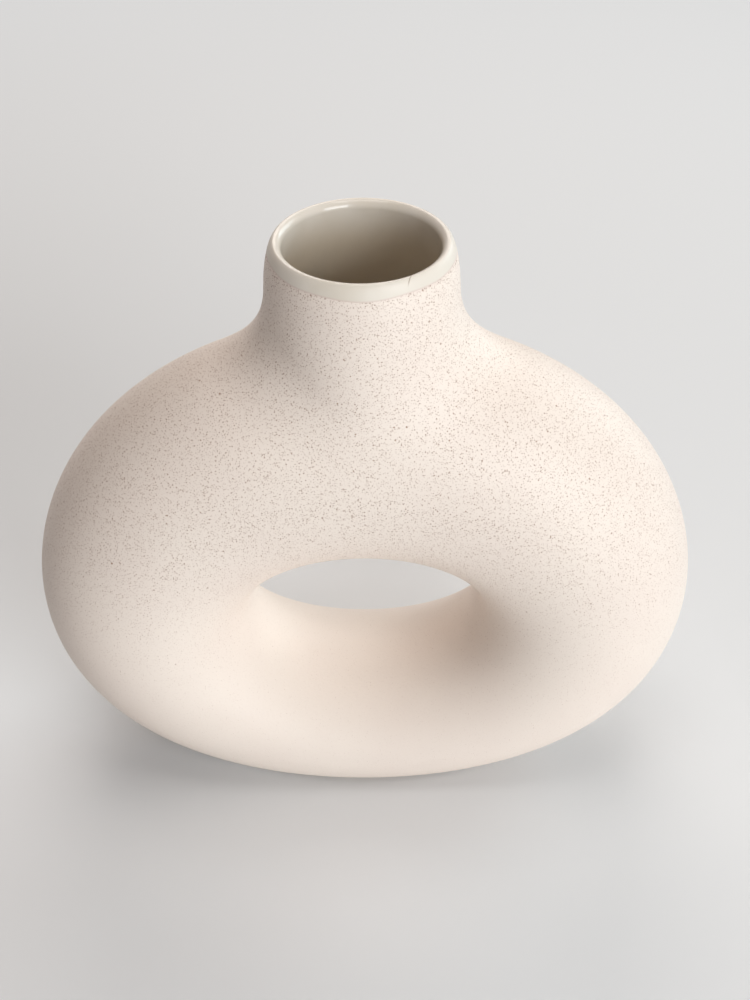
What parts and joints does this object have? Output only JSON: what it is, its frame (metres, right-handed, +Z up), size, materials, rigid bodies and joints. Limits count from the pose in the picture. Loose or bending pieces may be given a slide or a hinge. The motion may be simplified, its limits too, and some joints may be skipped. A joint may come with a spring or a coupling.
{
  "type": "donut vase",
  "caption": "Upright hollow ring vase with an off-centre oval hole, a short round neck and a flat foot, speckled matte glaze outside and smooth glaze inside.",
  "frame": {"origin": "under the middle of the flat foot, on the surface that the vase stands on", "axes": "+Z up through the neck, +X across the ring, Y through the hole, with -Y the pictured front"},
  "size_m": [0.2006, 0.0666, 0.1835],
  "materials": {
    "clay": "bare fired stoneware clay, fine grained, matte",
    "slip": "fired luting slip, matte",
    "speckled_glaze": "matte warm cream glaze with fine brown iron specks",
    "liner_glaze": "smooth glossy grey-cream glaze without specks"
  },
  "bodies": {
    "root": {"front_half": "clay", "rear_half": "clay", "outer_seam_left": "slip", "outer_seam_right": "slip", "hole_seam": "slip", "neck": "clay", "neck_seam": "slip", "base": "clay", "base_seam": "slip", "speckled_glaze": "speckled_glaze", "liner_glaze": "liner_glaze"}
  },
  "joints": []
}
